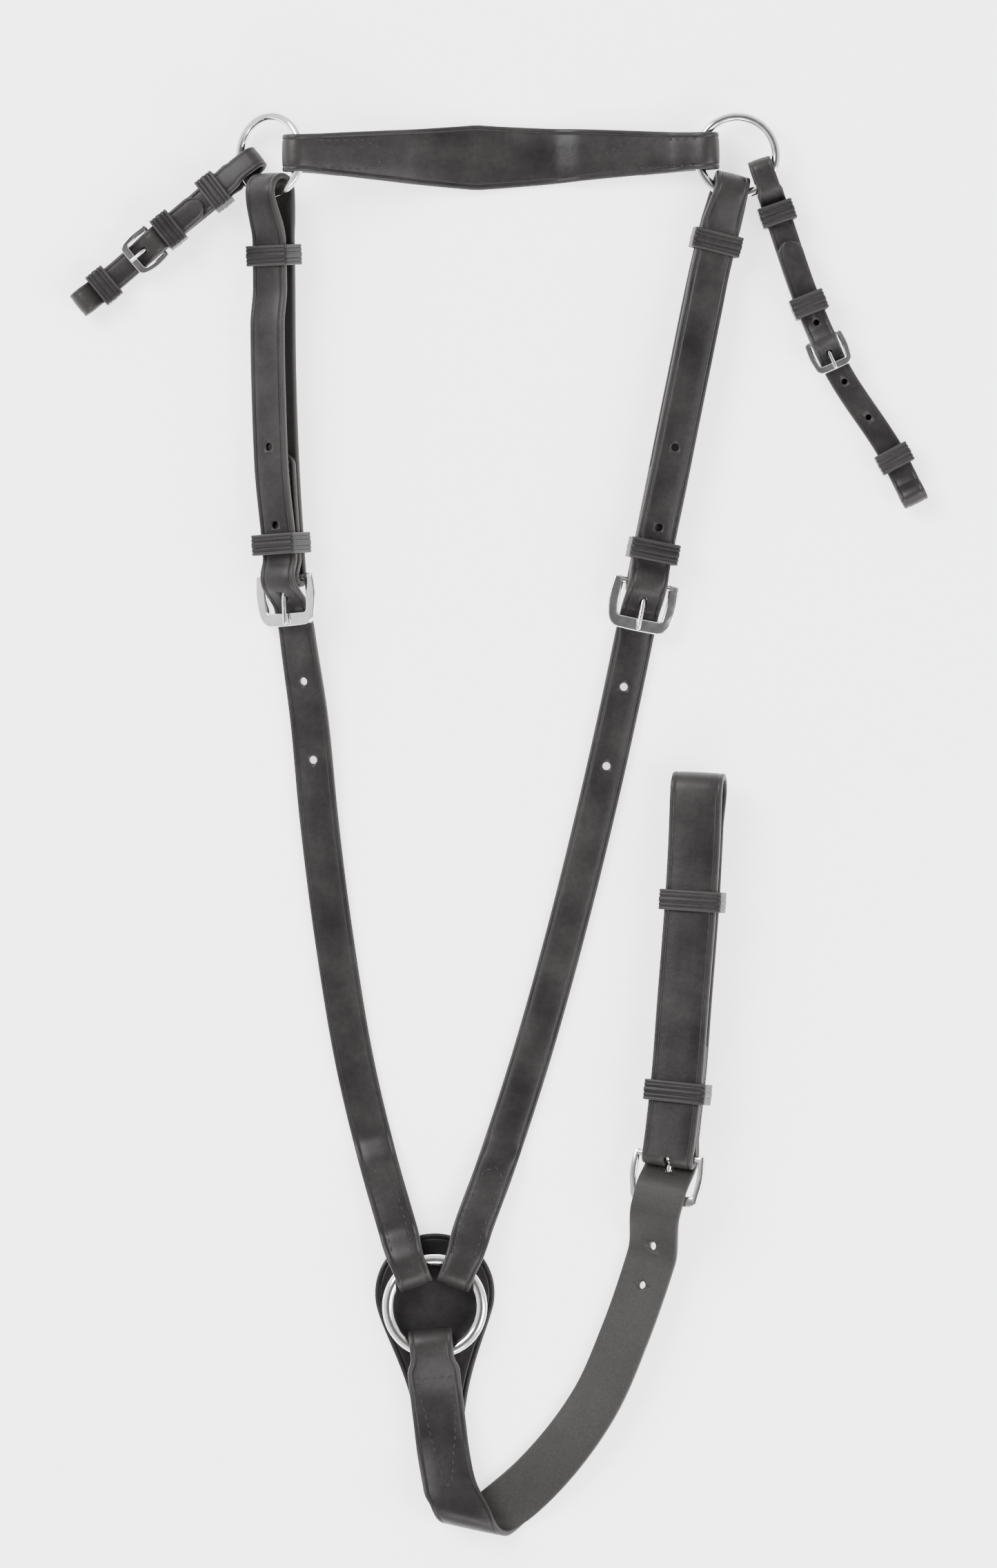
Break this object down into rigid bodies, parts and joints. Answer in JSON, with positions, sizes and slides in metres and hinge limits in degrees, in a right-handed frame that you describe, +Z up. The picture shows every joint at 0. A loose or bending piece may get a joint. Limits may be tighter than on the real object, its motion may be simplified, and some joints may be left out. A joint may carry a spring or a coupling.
{
  "type": "martingale",
  "caption": "Hunting breastplate martingale in dark leather, laid flat: neck straps on a chest ring and upper rings, a buckled girth strap over a pear-shaped safe, and dee straps.",
  "frame": {"origin": "middle of the footprint, on the surface that the part is laid on", "axes": "+X across the neck towards the wearer's left-hand strap as laid, +Y from the chest ring to the withers, +Z up from the surface"},
  "size_m": [0.4154, 0.6882, 0.0361],
  "materials": {
    "strap_leather": "dressed bridle leather, satin, creased edges",
    "keeper_leather": "dressed leather loops with double crease lines",
    "safe_leather": "thick satin leather with creased border",
    "ring_steel": "polished stainless wire",
    "buckle_steel": "polished stainless cast buckles",
    "thread": "waxed linen thread"
  },
  "bodies": {
    "neck": {"wither_strap": "strap_leather", "neck_strap_left": "strap_leather", "neck_strap_right": "strap_leather", "neck_keeper_left": "keeper_leather", "neck_keeper_right": "keeper_leather"},
    "chest_ring": {"chest_ring": "ring_steel"},
    "girth": {"girth_strap": "strap_leather", "safe": "safe_leather", "girth_keeper": "keeper_leather"},
    "girth_runner": {"girth_runner": "keeper_leather"},
    "girth_buckle": {"girth_buckle_frame": "buckle_steel"},
    "girth_prong": {"girth_buckle_prong": "buckle_steel"},
    "neck_buckle_left": {"neck_buckle_left_frame": "buckle_steel"},
    "neck_prong_left": {"neck_buckle_left_prong": "buckle_steel"},
    "neck_runner_left": {"neck_runner_left": "keeper_leather"},
    "ring_left": {"upper_ring_left": "ring_steel"},
    "dee_left": {"dee_strap_left": "strap_leather", "dee_keeper_left": "keeper_leather"},
    "dee_buckle_left": {"dee_buckle_left_frame": "buckle_steel"},
    "dee_prong_left": {"dee_buckle_left_prong": "buckle_steel"},
    "dee_ring_runner_left": {"dee_ring_runner_left": "keeper_leather"},
    "dee_end_runner_left": {"dee_end_runner_left": "keeper_leather"},
    "neck_buckle_right": {"neck_buckle_right_frame": "buckle_steel"},
    "neck_prong_right": {"neck_buckle_right_prong": "buckle_steel"},
    "neck_runner_right": {"neck_runner_right": "keeper_leather"},
    "ring_right": {"upper_ring_right": "ring_steel"},
    "dee_right": {"dee_strap_right": "strap_leather", "dee_keeper_right": "keeper_leather"},
    "dee_buckle_right": {"dee_buckle_right_frame": "buckle_steel"},
    "dee_prong_right": {"dee_buckle_right_prong": "buckle_steel"},
    "dee_ring_runner_right": {"dee_ring_runner_right": "keeper_leather"},
    "dee_end_runner_right": {"dee_end_runner_right": "keeper_leather"}
  },
  "joints": [
    {"name": "chest_ring_turn", "type": "hinge", "parent": "neck", "child": "chest_ring", "pos_m": [-0.03103, -0.23276, 0.00996], "axis": [0, 0, 1], "continuous": true},
    {"name": "girth_swing", "type": "hinge", "parent": "neck", "child": "girth", "pos_m": [-0.03103, -0.23276, 0.00996], "axis": [0, 0, 1], "range_deg": [-30, 4]},
    {"name": "girth_buckle_pivot", "type": "hinge", "parent": "girth", "child": "girth_buckle", "pos_m": [0.08224, -0.15983, 0.01684], "axis": [0.9548, -0.1182, 0.2727], "range_deg": [0, 3]},
    {"name": "girth_prong_pivot", "type": "hinge", "parent": "girth_buckle", "child": "girth_prong", "pos_m": [0.08224, -0.15983, 0.01684], "axis": [0.9548, -0.1182, 0.2727], "range_deg": [0, 4]},
    {"name": "girth_runner_slide", "type": "slide", "parent": "girth", "child": "girth_runner", "axis": [0.0639, 0.9979, -0.0051], "range_m": [-0.02, 0.02]},
    {"name": "neck_buckle_left_pivot", "type": "hinge", "parent": "neck", "child": "neck_buckle_left", "pos_m": [-0.10311, 0.11897, 0.01275], "axis": [-0.8539, -0.0599, -0.517], "range_deg": [-1, 3]},
    {"name": "neck_prong_left_pivot", "type": "hinge", "parent": "neck_buckle_left", "child": "neck_prong_left", "pos_m": [-0.10311, 0.11897, 0.01275], "axis": [-0.8539, -0.0599, -0.517], "range_deg": [0, 4]},
    {"name": "neck_runner_left_slide", "type": "slide", "parent": "neck", "child": "neck_runner_left", "axis": [-0.0394, 0.9979, 0.0518], "range_m": [-0.006, 0.002]},
    {"name": "ring_left_turn", "type": "hinge", "parent": "neck", "child": "ring_left", "pos_m": [-0.11033, 0.32294, 0.01746], "axis": [-0.6157, 0, 0.788], "range_deg": [0, 5]},
    {"name": "dee_left_lift", "type": "hinge", "parent": "ring_left", "child": "dee_left", "pos_m": [-0.12383, 0.31497, 0.00691], "axis": [-0.3321, 0.9068, -0.2595], "range_deg": [0, 20]},
    {"name": "dee_buckle_left_pivot", "type": "hinge", "parent": "dee_left", "child": "dee_buckle_left", "pos_m": [-0.16631, 0.28148, 0.00961], "axis": [-0.641, 0.7675, 0.0054], "range_deg": [-1, 3]},
    {"name": "dee_prong_left_pivot", "type": "hinge", "parent": "dee_buckle_left", "child": "dee_prong_left", "pos_m": [-0.16631, 0.28148, 0.00961], "axis": [-0.641, 0.7675, 0.0054], "range_deg": [0, 4]},
    {"name": "dee_ring_runner_left_slide", "type": "slide", "parent": "dee_left", "child": "dee_ring_runner_left", "axis": [0.7863, 0.6133, 0.0745], "range_m": [-0.002, 0.0005]},
    {"name": "dee_end_runner_left_slide", "type": "slide", "parent": "dee_left", "child": "dee_end_runner_left", "axis": [0.773, 0.6344, 0.001], "range_m": [-0.001, 0.005]},
    {"name": "neck_buckle_right_pivot", "type": "hinge", "parent": "neck", "child": "neck_buckle_right", "pos_m": [0.07118, 0.11608, 0.0088], "axis": [-0.975, 0.1951, 0.106], "range_deg": [-1, 3]},
    {"name": "neck_prong_right_pivot", "type": "hinge", "parent": "neck_buckle_right", "child": "neck_prong_right", "pos_m": [0.07118, 0.11608, 0.0088], "axis": [-0.975, 0.1951, 0.106], "range_deg": [0, 4]},
    {"name": "neck_runner_right_slide", "type": "slide", "parent": "neck", "child": "neck_runner_right", "axis": [0.2375, 0.9714, 0], "range_m": [-0.008, 0.002]},
    {"name": "ring_right_turn", "type": "hinge", "parent": "neck", "child": "ring_right", "pos_m": [0.11497, 0.32294, 0.01076], "axis": [0, 0, 1], "range_deg": [0, 60]},
    {"name": "dee_right_lift", "type": "hinge", "parent": "ring_right", "child": "dee_right", "pos_m": [0.12901, 0.31028, 0.01076], "axis": [-0.6698, -0.7425, 0], "range_deg": [0, 30]},
    {"name": "dee_buckle_right_pivot", "type": "hinge", "parent": "dee_right", "child": "dee_buckle_right", "pos_m": [0.15679, 0.23403, 0.00956], "axis": [-0.9141, -0.4056, 0], "range_deg": [-1, 3]},
    {"name": "dee_prong_right_pivot", "type": "hinge", "parent": "dee_buckle_right", "child": "dee_prong_right", "pos_m": [0.15679, 0.23403, 0.00956], "axis": [-0.9141, -0.4056, 0], "range_deg": [0, 4]},
    {"name": "dee_ring_runner_right_slide", "type": "slide", "parent": "dee_right", "child": "dee_ring_runner_right", "axis": [-0.3266, 0.9452, 0], "range_m": [-0.008, 0.001]},
    {"name": "dee_end_runner_right_slide", "type": "slide", "parent": "dee_right", "child": "dee_end_runner_right", "axis": [-0.4715, 0.8819, 0], "range_m": [-0.003, 0.004]}
  ]
}
